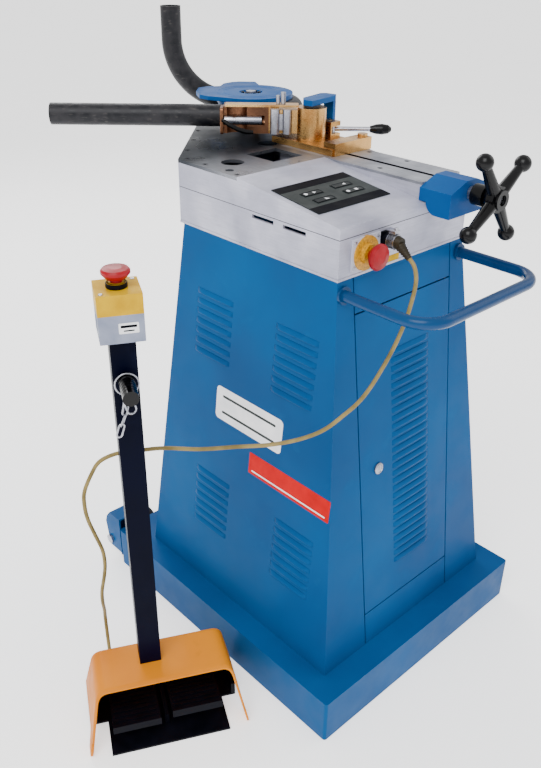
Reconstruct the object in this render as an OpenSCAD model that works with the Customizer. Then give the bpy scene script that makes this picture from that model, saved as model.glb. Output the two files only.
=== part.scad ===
// Rotary-draw tube bender on a tapered steel cabinet, with a loaded tube and a
// separate foot-pedal station. Millimetres. X is the machine's width, Y runs from
// the operator's end to the back, Z is up. The origin is the centre of the base
// tray on the floor.

/* [Base tray] */
// Width of the base tray
tray_w = 590; // [560:5:620]
// Depth of the base tray
tray_d = 678; // [660:2:700]
// Height of the base tray
tray_h = 97; // [80:1:110]
// Sheet thickness of the tray
tray_sheet = 4; // [3:0.5:5]

/* [Cabinet] */
// Width of the cabinet where it meets the tray
cab_w_low = 494; // [480:2:510]
// Width of the cabinet under the head
cab_w_top = 333; // [325:1:340]
// Front of the cabinet at the tray, distance from the origin
cab_front_low = 288; // [280:1:295]
// Front of the cabinet under the head, distance from the origin
cab_front_top = 195; // [190:1:200]
// Back of the cabinet at the tray, distance from the origin
cab_back_low = 262; // [250:1:270]
// Back of the cabinet under the head, distance from the origin
cab_back_top = 204; // [198:1:210]
// Height of the cabinet's top edge above the floor
cab_top = 852; // [840:1:860]
// Sheet thickness of the cabinet panels
cab_sheet = 3; // [2:0.5:4]
// Half width of the front opening that the door fills
door_half = 128; // [120:1:129]
// Height of the door's bottom edge
door_low = 171; // [160:1:180]
// Height of the door's top edge
door_high = 786; // [770:1:792]

/* [Head] */
// Height of the deck's top face
deck_z = 971; // [965:1:980]
// Thickness of the deck plate
deck_t = 6; // [5:1:8]
// Height of the head's front edge
nose_z = 939.5; // [935:0.5:945]
// Where the sloped control panel meets the flat deck, along Y
kink_y = 49; // [40:1:60]
// Height of the seam between the head's lower frame and its cover
seam_z = 921; // [915:1:925]

/* [Bending] */
// Bend radius at the tube's centre line
bend_r = 88; // [86:1:90]
// Outer diameter of the tube
tube_d = 42.4; // [42:0.1:42.8]
// Wall of the tube
tube_wall = 3.2; // [2:0.2:4]
// Height of the tube's centre line
tube_z = 1015; // [1014:1:1016]
// Direction in which the tube is fed, anticlockwise from +X
feed_angle = 137; // [135:1:139]
// Length of the straight stock left of the former
stock_len = 398; // [300:1:420]

/* [Slide] */
// Left edge of the slide bed
bed_x0 = 50; // [46:1:54]
// Right edge of the slide bed
bed_x1 = 156; // [152:1:158]
// Height of the lead screw's axis
screw_z = 958; // [957:0.5:958]
// Radius of the lead screw
screw_r = 7; // [6:0.5:7]

/* [Pedal station] */
// Turn of the pedal station about its post
station_turn = -27; // [-30:1:-24]
// Height of the station's post above the floor
post_top = 805; // [790:5:830]
// Width of the square post
post_w = 40; // [38:1:41]

/* [Control cord] */
// Diameter of the control cord
cord_d = 7; // [6:0.5:8]

/* [Hidden] */
$fn = 48;

blue = [0.08, 0.38, 0.62];
bright_blue = [0.16, 0.45, 0.80];
silver = [0.78, 0.78, 0.81];
dark_steel = [0.22, 0.25, 0.28];
black = [0.06, 0.06, 0.07];
brass_tone = [0.84, 0.68, 0.38];
bronze_tone = [0.60, 0.42, 0.30];
orange_tone = [0.90, 0.58, 0.22];

// The tapered cabinet
cab_rise = cab_top - tray_h;
side_lean = atan((cab_w_low - cab_w_top) / 2 / cab_rise);
front_lean = atan((cab_front_low - cab_front_top) / cab_rise);
back_lean = atan((cab_back_low - cab_back_top) / cab_rise);
front_opening = 131;
louvre_pitch = 20;
handle_z = 828;
slot_h = 5;

// The head's plan: a rectangle with its back-left corner cut at 45 degrees
head_half = cab_w_top / 2;
head_back = 440;
head_plan = [
    [-head_half, -cab_front_top], [head_half, -cab_front_top], [head_half, 405],
    [131, head_back], [58, head_back], [-head_half, 215]
];
wall = 5;
head_plan_inner = [
    [-head_half + wall, -cab_front_top + wall], [head_half - wall, -cab_front_top + wall],
    [head_half - wall, 403], [129, head_back - wall], [60, head_back - wall],
    [-head_half + wall, 213]
];
slope_angle = atan((deck_z - nose_z) / (kink_y + cab_front_top));

// The former stands at the back of the deck; the tube's front leg runs along feed
former_c = [108, 322];
feed = [cos(feed_angle), sin(feed_angle)];
outward = [-sin(feed_angle), cos(feed_angle)];
tangent = former_c + bend_r * outward;
tube_r = tube_d / 2;
groove_r = tube_r + 0.3;
former_low = 990;
former_high = 1046;
plate_low = tube_z + groove_r + 2;
shaft_r = 20;
run_fit = 0.06;

// The carriage and the swivelling counter-die
bed_y0 = -180;
bed_y1 = 170;
rail_z = 966;
screw_x = 100;
slot_half = 5;
carriage_z = deck_z + 0.3;
base_top = 983;
pivot = [100, 135];
pivot_r = 12;
knuckle_r = 28;
die_top = 1041;
// Pivot seen from the tangent point, along the feed and away from the tube
pivot_s = (pivot - tangent) * feed;
pivot_t = (pivot - tangent) * outward;

// Rear wheels
axle_y = 381;
axle_z = 46;
axle_r = 8;
wheel_r = 40;
wheel_w = 34;
wheel_x = 197;

// Pedal station
station = [-458, -48];
post_x = -20;
hood_z = 122;
hood_t = 4;
pedal_pin_z = 24;
pedal_pin_r = 4;
box_h = 77;
clip_z = 572;
gland = [-92, 84];

// Point of the pedal station's own frame as a point of the machine's
function station_point(x, y, z) = [
    station[0] + x * cos(station_turn) - y * sin(station_turn),
    station[1] + x * sin(station_turn) + y * cos(station_turn), z
];

// The plug's boot leaves the front socket and points down at 38 degrees
boot_base = [-57, -222, 901];
boot_dir = [0, -cos(38), -sin(38)];
boot_len = 34;

// Route of the control cord: out of the boot, down past the door's corner, round
// the cabinet to the clip on the back of the post, and down into the pedal hood
cord_route = [
    boot_base + 28 * boot_dir, boot_base + 36 * boot_dir, boot_base + 46 * boot_dir,
    [-57, -265, 857], [-57, -266, 838], [-60, -264, 812], [-66, -262, 785],
    [-79, -262, 760], [-95, -262, 736], [-118, -262, 709], [-146, -262, 682],
    [-174, -262, 664], [-203, -258, 650], [-228, -238, 622], [-256, -210, 602],
    [-292, -176, 590], [-332, -138, 585], [-376, -94, 578],
    station_point(40, 25, 571), station_point(5, 27.5, clip_z),
    station_point(post_x, 27.5, clip_z), station_point(-45, 27.5, clip_z),
    station_point(-72, 26, 562), [-523, 18, 536], [-537, 22, 505], [-540, 22, 478],
    [-537, 22, 446], [-526, 24, 405], [-513, 28, 360], [-508, 34, 320],
    [-508, 42, 285], [-510, 54, 240], [-505, 66, 200], [-496, 80, 165],
    station_point(gland[0], 108, 135), station_point(gland[0], 105, 110),
    station_point(gland[0], 95, 93), station_point(gland[0], 80, 85),
    station_point(gland[0], 66, gland[1]), station_point(gland[0], 54, gland[1]),
    station_point(gland[0], 42, gland[1])
];

// Solid between two outlines with the same number of corners at two heights
module taper(low, z0, high, z1) {
    n = len(low);
    polyhedron(
        points = concat([for (p = low) [p[0], p[1], z0]], [for (p = high) [p[0], p[1], z1]]),
        faces = concat(
            [[for (i = [0 : n - 1]) i], [for (i = [n - 1 : -1 : 0]) n + i]],
            [for (i = [0 : n - 1]) [i, n + i, n + (i + 1) % n, (i + 1) % n]]
        )
    );
}

// Children stand on the cabinet's front face: X across, Z up the face, -Y out
module on_front() {
    translate([0, -cab_front_low, tray_h]) rotate([-front_lean, 0, 0]) children();
}

// Height along the leaning front face of a point at height z
function up_front(z) = (z - tray_h) / cos(front_lean);

// Children lie on the sloped control panel: X across, Y up the slope, Z out
module on_slope() {
    translate([0, -cab_front_top, nose_z]) rotate([slope_angle, 0, 0]) children();
}

// Children stand at the former's tangent point: X along the feed, Y outwards
module at_die() {
    translate([tangent[0], tangent[1], 0]) rotate([0, 0, feed_angle]) children();
}

// Children stand in the pedal station's own frame: -Y is its front
module at_station() {
    translate([station[0], station[1], 0]) rotate([0, 0, station_turn]) children();
}

module plate_with_round_corners(w, d, h, r) {
    linear_extrude(h) {
        square([w - 2 * r, d], center = true);
        square([w, d - 2 * r], center = true);
        for (x = [-1, 1], y = [-1, 1]) translate([x * (w / 2 - r), y * (d / 2 - r)]) circle(r);
    }
}

module base_tray() {
    color(blue) difference() {
        plate_with_round_corners(tray_w, tray_d, tray_h, 6);
        translate([0, 0, tray_sheet])
            plate_with_round_corners(tray_w - 8, tray_d - 8, tray_h - 2 * tray_sheet, 3);
        translate([0, -8, tray_h - tray_sheet - 1])
            plate_with_round_corners(460, 500, 10, 12);
    }
}

function bracket_profile(g) = [
    [339, 20 + g], [342, 26 + g], [386 - g, 26 + g], [394 - g, 62],
    [399 - g, 90], [393 - g, 108], [380 - g, 125 - g], [339, 125 - g]
];

module wheel_brackets() {
    color(blue) for (side = [-1, 1]) translate([side * 267.5 - 27.5, 0, 0]) difference() {
        rotate([90, 0, 90]) linear_extrude(55) polygon(bracket_profile(0));
        translate([4, 0, 0]) rotate([90, 0, 90]) linear_extrude(47) polygon(
            concat([[338, 10]], [for (p = bracket_profile(4)) [p[0], p[1] - (p[1] < 40 ? 22 : 0)]])
        );
        translate([-1, axle_y, axle_z]) rotate([0, 90, 0]) cylinder(r = axle_r, h = 57);
    }
}

module rear_axle() {
    color(dark_steel) {
        translate([-295.5, axle_y, axle_z]) rotate([0, 90, 0]) cylinder(r = axle_r, h = 591);
        for (side = [-1, 1]) {
            translate([side * 298, axle_y, axle_z]) rotate([0, 90, 0])
                cylinder(r = 11, h = 5, center = true);
            for (x = [wheel_x - wheel_w / 2 - 4, wheel_x + wheel_w / 2 + 4])
                translate([side * x, axle_y, axle_z]) rotate([0, 90, 0])
                    cylinder(r = 12, h = 5, center = true);
        }
    }
}

module wheel(x) {
    translate([x, axle_y, axle_z]) rotate([0, 90, 0]) difference() {
        union() {
            cylinder(r = wheel_r, h = wheel_w - 10, center = true);
            cylinder(r = wheel_r - 4, h = wheel_w - 4, center = true);
            cylinder(r = 16, h = wheel_w, center = true);
        }
        for (z = [-wheel_w, wheel_w / 2 - 6]) translate([0, 0, z]) difference() {
            cylinder(r = wheel_r - 12, h = wheel_w / 2 + 6);
            cylinder(r = 16, h = wheel_w);
        }
        cylinder(r = axle_r + run_fit, h = wheel_w + 2, center = true);
    }
}

module left_wheel() {
    color(black) wheel(-wheel_x);
}

module right_wheel() {
    color(black) wheel(wheel_x);
}

// A row of ventilation slots in a side panel, its top slot at height z
module side_slots(y0, z) {
    for (i = [0 : 6]) translate([-400, y0, z - i * louvre_pitch]) cube([800, 98, slot_h]);
}

// Tapered block of the cabinet, its faces set in by side, front and back, and
// longer by extra at both ends
module cab_block(side, front, back, extra) {
    intersection() {
        translate([-400, -400, tray_h - extra]) cube([800, 800, cab_rise + 2 * extra]);
        translate([0, front - cab_front_low, tray_h]) rotate([-front_lean, 0, 0])
            translate([-500, 0, -200]) cube([1000, 1000, 1200]);
        translate([0, cab_back_low - back, tray_h]) rotate([back_lean, 0, 0])
            translate([-500, -1000, -200]) cube([1000, 1000, 1200]);
        translate([cab_w_low / 2 - side, 0, tray_h]) rotate([0, -side_lean, 0])
            translate([-1000, -500, -200]) cube([1000, 1000, 1200]);
    }
}

// L-shaped side sheet with a folded strip on the front, side = -1 left, 1 right
module side_shell(side) {
    mirror([side < 0 ? 1 : 0, 0, 0]) difference() {
        cab_block(0, 0, 0, 0);
        cab_block(cab_sheet, cab_sheet, -40, 10);
        translate([front_opening - 600, -600, 0]) cube([600, 1200, 1000]);
        side_slots(51, 733);
        side_slots(-169, 733);
        side_slots(24, 353);
        side_slots(-214, 353);
        translate([155, -cab_front_top, handle_z]) rotate([90, 0, 0])
            cylinder(r = 10.1, h = 60, center = true);
    }
}

module left_side_shell() {
    color(blue) side_shell(-1);
}

module right_side_shell() {
    color(blue) side_shell(1);
}

function strip(x, y0, y1) = [[-x, y0], [x, y0], [x, y1], [-x, y1]];

module back_panel() {
    s = cab_sheet;
    lo = cab_w_low / 2 - s;
    hi = cab_w_top / 2 - s;
    color(blue) difference() {
        taper(strip(lo, cab_back_low - s, cab_back_low), tray_h,
            strip(hi, cab_back_top - s, cab_back_top), cab_top);
        for (i = [0 : 7]) translate([-60, 150, 640 + i * louvre_pitch]) cube([120, 150, slot_h]);
    }
}

module front_panels() {
    t = cab_sheet * cos(front_lean);
    sill = up_front(door_low) - 3;
    head = up_front(door_high) + 3;
    color(blue) on_front() difference() {
        union() {
            translate([-door_half, 0, 0.5]) cube([2 * door_half, t, sill - 0.5]);
            translate([-door_half, 0, head]) cube([2 * door_half, t, up_front(cab_top) - head - 6]);
            for (x = [-door_half - 12, door_half - 16]) {
                translate([x, t, 3]) cube([28, 3, sill - 20]);
                translate([x, t, head + 16]) cube([28, 3, up_front(cab_top) - head - 28]);
            }
        }
        for (z = [sill - 7.5, head - 4]) translate([door_pivot[0], door_pivot[1], z])
            cylinder(r = 4.3, h = 11.5);
    }
}

// The door is a folded pan with a column of slots right of its middle
door_pivot = [120, 6];
door_deep = 14;

module door() {
    z0 = up_front(door_low);
    z1 = up_front(door_high);
    color(blue) on_front() difference() {
        union() {
            difference() {
                translate([-door_half, 0, z0]) cube([2 * door_half, door_deep, z1 - z0]);
                translate([2 - door_half, 2, z0 + 2]) cube([2 * door_half - 4, 30, z1 - z0 - 4]);
            }
            for (z = [z0 + 1, z1 - 8]) translate([111, 1, z]) cube([16, door_deep - 2, 7]);
        }
        for (i = [0 : 27]) translate([-36, -1, 150 + i * 16.5]) cube([100, 4, slot_h]);
        translate([-80, -1, 383]) rotate([-90, 0, 0]) cylinder(r = 9, h = 5);
        for (z = [z0 - 1, z1 - 9]) translate([door_pivot[0], door_pivot[1], z])
            cylinder(r = 4 + run_fit, h = 10);
    }
}

module door_lock() {
    color(silver) on_front() translate([-80, 0, 383]) {
        translate([0, -3, 0]) rotate([-90, 0, 0]) cylinder(r = 11, h = 2.8);
        translate([0, -3, 0]) rotate([-90, 0, 0]) cylinder(r = 8.94, h = 20);
        translate([-8, 15, -8]) cube([16, 3, 62]);
    }
}

module hinge_pins() {
    t = cab_sheet * cos(front_lean);
    color(dark_steel) on_front() for (s = [-1, 1]) {
        z = s < 0 ? up_front(door_low) : up_front(door_high);
        translate([door_pivot[0], door_pivot[1], z + (s < 0 ? -10 : -7)]) cylinder(r = 4, h = 17);
        translate([door_pivot[0] - 8, t, z + (s < 0 ? -14 : 10)]) cube([16, 12, 4]);
    }
}

// Bent tube handle across the front, with a welded collar at each end
module push_handle() {
    bend = 50;
    x = 155;
    y = -370;
    color(blue) {
        translate([0, 0, handle_z]) for (side = [-1, 1]) {
            translate([side * x, y + bend, 0]) rotate([-90, 0, 0])
                cylinder(r = 10, h = -cab_front_top - y - bend + 12);
            translate([side * (x - bend), y + bend, 0]) rotate([0, 0, side > 0 ? 270 : 180])
                rotate_extrude(angle = 90) translate([bend, 0]) circle(r = 10);
        }
        translate([-x + bend, y, handle_z]) rotate([0, 90, 0]) cylinder(r = 10, h = 2 * (x - bend));
        on_front() for (side = [-1, 1]) translate([side * x, -5, up_front(handle_z)])
            rotate([-90, 0, 0]) cylinder(r = 15, h = 4.9);
    }
}

// Lower ring of the head, closed underneath where it overhangs the cabinet
module head_lower_frame() {
    color(silver) difference() {
        translate([0, 0, cab_top]) linear_extrude(seam_z - cab_top) polygon(head_plan);
        translate([0, 0, cab_top + wall]) linear_extrude(100) polygon(head_plan_inner);
        translate([-head_half + wall, wall - cab_front_top, cab_top - 1])
            cube([cab_w_top - 2 * wall, cab_front_top + cab_back_top - 2 * wall, 20]);
        for (y = [-44, -121]) translate([-200, y, 909]) cube([50, 54, 7]);
        translate([-105, -cab_front_top - 1, 888]) rotate([-90, 0, 0]) cylinder(r = 12, h = 10);
        translate([-57, -cab_front_top - 1, 901]) rotate([-90, 0, 0]) cylinder(r = 11, h = 10);
    }
}

function slope_profile(g, low) = [
    [-cab_front_top + g, low], [-cab_front_top + g, nose_z - g],
    [kink_y, deck_z - g], [head_back + 5, deck_z - g], [head_back + 5, low]
];

module slope_block(g, low) {
    translate([-200, 0, 0]) rotate([90, 0, 90]) linear_extrude(400) polygon(slope_profile(g, low));
}

// Upper casing of the head with the sloped control panel
module head_cover() {
    color(silver) difference() {
        intersection() {
            translate([0, 0, seam_z]) linear_extrude(100) polygon(head_plan);
            slope_block(0, seam_z);
        }
        intersection() {
            translate([0, 0, seam_z - 1]) linear_extrude(100) polygon(head_plan_inner);
            slope_block(wall, seam_z - 2);
        }
        translate([-200, kink_y, deck_z - deck_t]) cube([400, 500, 20]);
        translate([bed_x0 - 0.2, -220, 936]) cube([bed_x1 - bed_x0 + 0.4, 466, 50]);
        on_slope() for (k = key_places)
            translate([k[0] - 24, k[1] - 9, -wall - 2]) cube([48, 18, wall + 4]);
    }
}

// Flat deck with its tool holes and the square recess
module deck_plate() {
    color(dark_steel) difference() {
        translate([0, 0, deck_z - deck_t]) linear_extrude(deck_t) polygon([
            [-head_half, kink_y], [head_half, kink_y], [head_half, 405],
            [131, head_back], [58, head_back], [-head_half, 215]
        ]);
        translate([bed_x0 - 0.2, 0, 900]) cube([bed_x1 - bed_x0 + 0.4, bed_y1 + 1, 100]);
        translate([former_c[0], former_c[1], 900]) cylinder(r = shaft_r + run_fit, h = 100);
        translate([43, 199, 900]) cylinder(r = 20, h = 100);
        translate([-106, 131, 900]) cylinder(r = 21, h = 100);
        translate([-146, 92, 900]) cylinder(r = 8, h = 100);
        translate([-47, 85, 900]) cube([75, 75, 100]);
        for (p = deck_screw_places) translate([p[0], p[1], deck_z - 3]) cylinder(r = 5.2, h = 10);
    }
}
deck_screw_places = [
    [10, 378], [-50, 318], [-112, 256], [-152, 206], [-153, 152], [-154, 62],
    [150, 262], [150, 390], [70, 426]
];
rail_screw_places = [[68, 155], [68, 42], [68, -71], [144, 155], [144, 21], [144, -71]];

module deck_screws() {
    color(dark_steel) {
        for (p = deck_screw_places) translate([p[0], p[1], deck_z - 3]) socket_head(5.2, 2.4);
        for (p = rail_screw_places) translate([p[0], p[1], rail_z + 1.5]) socket_head(5.2, 3);
    }
}

module socket_head(r, h) {
    difference() {
        cylinder(r = r, h = h);
        translate([0, 0, h - 1.6]) cylinder(r = 2.6, h = 3, $fn = 6);
    }
}

key_places = [[-104, 126], [-30, 128], [-103, 97], [-27, 101]];
overlay_t = 1.6;

module control_overlay() {
    color([0.36, 0.38, 0.40]) on_slope() difference() {
        translate([-155, 58, 0]) cube([175, 113, overlay_t]);
        for (k = key_places) translate([k[0] - 22.5, k[1] - 7.5, -1]) cube([45, 15, 5]);
    }
}

// Oblong push key that stands a little proud of the overlay
module panel_key(i) {
    color([0.2, 0.2, 0.22]) on_slope() translate([key_places[i][0], key_places[i][1], 0]) {
        translate([-22, -7, -3]) cube([44, 14, 5.6]);
        translate([0, 0, -3.5]) cube([46.5, 16.5, 1.6], center = true);
    }
}

module start_key() panel_key(0);
module reverse_key() panel_key(1);
module angle_key() panel_key(2);
module stop_key() panel_key(3);

// Yellow surround of the front emergency stop on its square plate
module estop_ring() {
    color([0.88, 0.74, 0.20]) translate([-105, -cab_front_top, 888]) rotate([90, 0, 0]) difference() {
        union() {
            translate([-33, -26, 0]) cube([66, 55, 3]);
            cylinder(r = 29, h = 5);
            cylinder(r = 17, h = 14);
            translate([0, 0, -5]) cylinder(r = 11.9, h = 6);
        }
        translate([0, 0, -6]) cylinder(r = 9, h = 30);
    }
}

// Mushroom head and stem of an emergency stop, pointing along +Z from its collar
module mushroom(stem) {
    rotate_extrude() polygon([
        [0, -stem], [8.9, -stem], [8.9, 12], [16, 12.6], [18, 15],
        [22, 20], [22, 24], [19.5, 27], [10, 28.6], [0, 28.8]
    ]);
}

module estop_button() {
    color("crimson") translate([-105, -cab_front_top - 8, 888]) rotate([90, 0, 0]) mushroom(16);
}

module front_socket() {
    color(black) translate([-57, -cab_front_top, 901]) rotate([90, 0, 0]) difference() {
        union() {
            translate([-14, -14, 0]) cube([28, 28, 3]);
            cylinder(r = 11.5, h = 12);
            translate([0, 0, -12]) cylinder(r = 10.9, h = 13);
        }
        translate([0, 0, 2]) cylinder(r = 9, h = 20);
    }
}

module cord_plug() {
    color(dark_steel) translate([-57, -cab_front_top, 901]) rotate([90, 0, 0]) {
        translate([0, 0, 2]) cylinder(r = 9, h = 10);
        translate([0, 0, 12]) cylinder(r = 12.5, h = 15);
        translate([-4, 12, 10]) cube([8, 6, 14]);
    }
}

// Tapered strain relief that turns the cord downwards
module plug_boot() {
    color([0.24, 0.20, 0.12]) difference() {
        union() {
            translate(boot_base) rotate([90, 0, 0]) cylinder(r1 = 11, r2 = 9, h = 9);
            translate(boot_base) rotate([90 + 38, 0, 0]) rotate_extrude()
                polygon([[0, 7.2], [8.6, 7.2], [6, 22], [5, boot_len], [0, boot_len]]);
        }
        translate(boot_base + 27 * boot_dir) rotate([90 + 38, 0, 0]) cylinder(r = cord_d / 2 + 0.1, h = 10);
    }
}

module drive_motor() {
    color(dark_steel) translate([58, 196, 885]) rotate([90, 0, 0]) {
        cylinder(r = 44, h = 8);
        translate([0, 0, 8]) cylinder(r = 40, h = 108);
        for (a = [0 : 30 : 330]) rotate([0, 0, a]) translate([38, -1.5, 14]) cube([5, 3, 96]);
        translate([0, 0, 116]) cylinder(r = 43, h = 20);
        translate([-28, -58, 40]) cube([56, 20, 56]);
    }
}

module gearbox() {
    color([0.35, 0.42, 0.5]) difference() {
        union() {
            translate([former_c[0], former_c[1], cab_top + wall]) cylinder(r = 50, h = 95);
            translate([58, 385, 885]) rotate([90, 0, 0]) cylinder(r = 20, h = 189);
            translate([58, 204, 885]) rotate([90, 0, 0]) cylinder(r = 27, h = 8);
        }
        translate([former_c[0], former_c[1], 870]) cylinder(r = shaft_r + run_fit, h = 100);
        translate([former_c[0], former_c[1], cab_top + wall + 6]) cylinder(r = 42, h = 83);
    }
}

// Vertical shaft that turns the former, with the worm wheel it is driven by
module bending_shaft() {
    color(silver) translate([former_c[0], former_c[1], 0]) {
        translate([0, 0, 863.2]) cylinder(r = shaft_r, h = former_high - 863.2 - 4);
        translate([0, 0, 872]) cylinder(r = 38, h = 26);
        translate([0, 0, deck_z + 1]) cylinder(r = 32, h = former_low - deck_z - 1);
        translate([0, 0, former_high - 4]) cylinder(r = 11, h = 6, $fn = 6);
    }
}

// Former: a grooved disc whose top plate reaches out over both legs of the tube
module former() {
    color(bright_blue) difference() {
        union() {
            translate([former_c[0], former_c[1], former_low])
                cylinder(r = bend_r - 1, h = former_high - former_low);
            at_die() translate([0, -bend_r, plate_low]) linear_extrude(former_high - plate_low)
                polygon([[-10, 84], [38, 77], [86, 56], [104, 40], [114, 0], [112, -42], [94, -60],
                         [68, -66], [62, -100], [46, -120], [30, -128], [-6, -128], [-16, -84]]);
        }
        translate([former_c[0], former_c[1], tube_z])
            rotate_extrude() translate([bend_r, 0]) circle(r = groove_r);
        translate([former_c[0], former_c[1], 900]) cylinder(r = shaft_r, h = 200);
        translate([former_c[0], former_c[1], former_high - 3]) cylinder(r = 24, h = 10);
    }
}

// Hook of the former that grips the bent leg from outside
module former_hook() {
    color(bright_blue) at_die() difference() {
        translate([-4, -2 * bend_r - 38, former_low]) cube([36, 28, plate_low - former_low]);
        translate([-10, -2 * bend_r, tube_z]) rotate([0, 90, 0]) cylinder(r = groove_r, h = 60);
    }
}

// Centre line of the tube: feed leg, bend round the former, return leg, rise
module tube_solid(r, extra) {
    rise_s = 50;
    rise_r = 120;
    at_die() translate([0, 0, tube_z]) {
        rotate([0, 90, 0]) cylinder(r = r, h = stock_len + extra);
        translate([0, -bend_r, 0]) rotate([0, 0, 90])
            rotate_extrude(angle = 180) translate([bend_r, 0]) circle(r = r);
        translate([0, -2 * bend_r, 0]) rotate([0, 90, 0]) cylinder(r = r, h = rise_s);
        translate([rise_s, -2 * bend_r, rise_r]) rotate([90, 0, 0]) rotate([0, 0, -90])
            rotate_extrude(angle = 90) translate([rise_r, 0]) circle(r = r);
        translate([rise_s + rise_r, -2 * bend_r, rise_r]) cylinder(r = r, h = 66 + extra);
    }
}

module workpiece_tube() {
    color(dark_steel) difference() {
        tube_solid(tube_r, 0);
        tube_solid(tube_r - tube_wall, 1);
    }
}

module slide_bed() {
    color(silver) difference() {
        translate([bed_x0, bed_y0, 936]) cube([bed_x1 - bed_x0, bed_y1 - bed_y0, rail_z - 936]);
        translate([screw_x - 16, bed_y0 - 1, 945]) cube([32, bed_y1 - bed_y0 - 8, 30]);
    }
}

module guide_rails() {
    color(silver) difference() {
        for (x = [[bed_x0, screw_x - slot_half], [screw_x + slot_half, bed_x1]])
            translate([x[0], bed_y0, rail_z]) cube([x[1] - x[0], bed_y1 - bed_y0, deck_z - rail_z]);
        for (p = rail_screw_places) translate([p[0], p[1], rail_z + 1.5]) cylinder(r = 5.2, h = 10);
    }
}

module carriage() {
    color(brass_tone) difference() {
        union() {
            translate([60, 40, carriage_z]) cube([100, 165, base_top - carriage_z]);
            translate([64, 36, carriage_z]) cube([102, 30, 23]);
            translate([156, 51, carriage_z]) cylinder(r = 10, h = 28);
            translate([76, 60, carriage_z]) cylinder(r = 6, h = 22, $fn = 6);
        }
        translate([pivot[0], pivot[1], 974]) cylinder(r = pivot_r + run_fit, h = 30);
        translate([screw_x - 4.2, 90, 960]) cube([8.4, 28, 20]);
        translate([112, 66, base_top - 4]) cube([60, 34, 20]);
    }
}

module lead_nut() {
    color(bronze_tone) difference() {
        union() {
            translate([screw_x - 15, 90, 946.5]) cube([30, 60, 19]);
            translate([screw_x - 4.2, 90, 960]) cube([8.4, 28, 20]);
        }
        translate([screw_x, 80, screw_z]) rotate([-90, 0, 0]) cylinder(r = screw_r + run_fit, h = 80);
    }
}

module lead_screw() {
    color(silver) translate([screw_x, 0, screw_z]) {
        translate([0, -302, 0]) rotate([-90, 0, 0]) cylinder(r = screw_r, h = 460);
        translate([0, -254, 0]) rotate([-90, 0, 0]) cylinder(r = 12, h = 8.7);
    }
}

// Four-armed star wheel with ball ends
module handwheel() {
    color(black) translate([screw_x, -294, screw_z]) rotate([90, 0, 0]) difference() {
        union() {
            translate([0, 0, -40]) cylinder(r = 18, h = 22);
            translate([0, 0, -18]) cylinder(r1 = 14, r2 = 22, h = 12);
            translate([0, 0, -6]) cylinder(r = 22, h = 14);
            translate([0, 0, 8]) cylinder(r = 17, h = 6);
            for (a = [35 : 90 : 305]) rotate([0, 0, a]) {
                translate([16, 0, 0]) rotate([0, 90, 0]) cylinder(r1 = 11.5, r2 = 8, h = 60);
                translate([82, 0, 0]) sphere(r = 14.5);
            }
        }
        translate([0, 0, -50]) cylinder(r = screw_r, h = 80);
        translate([0, 0, 8]) cylinder(r = 9, h = 20);
    }
}

// Blue bearing housing that closes the front of the slide
module screw_housing() {
    color(bright_blue) difference() {
        translate([0, bed_y0, 0]) rotate([90, 0, 0]) linear_extrude(65) polygon([
            [44, 922], [bed_x1, 922], [bed_x1, 964], [114, 980], [86, 980], [44, 964]
        ]);
        translate([0, -cab_front_top, 900]) cube([400, 100, 42]);
        difference() {
            translate([0, -217, 900]) cube([400, 22.5, 44]);
            translate([-1, -217, 944]) rotate([0, 90, 0]) cylinder(r = 22, h = 402);
        }
        translate([screw_x, -300, screw_z]) rotate([-90, 0, 0]) cylinder(r = screw_r + run_fit, h = 200);
    }
}

module pivot_pin() {
    color(dark_steel) translate([pivot[0], pivot[1], 975]) {
        cylinder(r = pivot_r, h = 73);
        translate([0, 0, 68.6]) cylinder(r = 17, h = 4.4);
    }
}

// Blue plate on top of the pivot pin, its end folded down as a finger grip
module pin_handle() {
    color(bright_blue) translate([pivot[0], pivot[1], 1048]) rotate([0, 0, 12]) {
        linear_extrude(10) polygon([[-20, -13], [60, -16], [72, -10], [72, 14], [64, 22], [0, 21], [-20, 8]]);
        translate([62, -10, -40]) cube([10, 22, 44]);
    }
}

// Brass knuckle and arm that carry the counter-die; swings about the pivot pin
module die_holder() {
    color(brass_tone) at_die() difference() {
        union() {
            translate([pivot_s, pivot_t, base_top + 0.3]) cylinder(r = knuckle_r, h = die_top + 2 - base_top);
            translate([pivot_s, 26, 992]) cube([-58.2 - pivot_s, 26, 44]);
            translate([-96, 25, die_top]) cube([142, 26, 4]);
            translate([-58.2, 46.2, 992]) cube([20, 5.8, 49]);
        }
        translate([pivot_s, pivot_t, 900]) cylinder(r = pivot_r + run_fit, h = 200);
    }
}

module counter_die() {
    color(bronze_tone) at_die() difference() {
        translate([-58, 1.5, former_low]) cube([108, 44.5, die_top - former_low]);
        translate([-60, 0, tube_z]) rotate([0, 90, 0]) cylinder(r = groove_r, h = 120);
        translate([24, 56, 980]) cylinder(r = 22, h = 100);
        translate([-30, 46, tube_z]) rotate([0, 90, 0]) cylinder(r = 9, h = 90);
    }
}

module die_pins() {
    color(silver) at_die() {
        for (s = [-50, -74]) translate([s, 64, 994]) cylinder(r = 9, h = 46);
        translate([-72, 52.2, 1000]) cube([20, 10, 30]);
        translate([-66, 38, die_top + 4]) cylinder(r = 5, h = 22);
        translate([-56, 38, die_top + 4]) cylinder(r = 4, h = 16);
    }
}

module clamp_block() {
    color(brass_tone) difference() {
        translate([131, 112, base_top]) cube([27, 30, 30]);
        translate([134, 100, 990]) cube([40, 60, 14]);
        translate([146, 127, 980]) cylinder(r = 4, h = 40);
    }
}

module clamp_lever() {
    color(silver) translate([146, 127, 0]) {
        translate([0, 0, 983.2]) cylinder(r = 3.94, h = 29);
        translate([0, 0, 990.3]) cylinder(r = 9, h = 13.4);
        translate([0, 0, 997]) rotate([0, 90, -43]) cylinder(r = 4.5, h = 78);
    }
}

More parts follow.
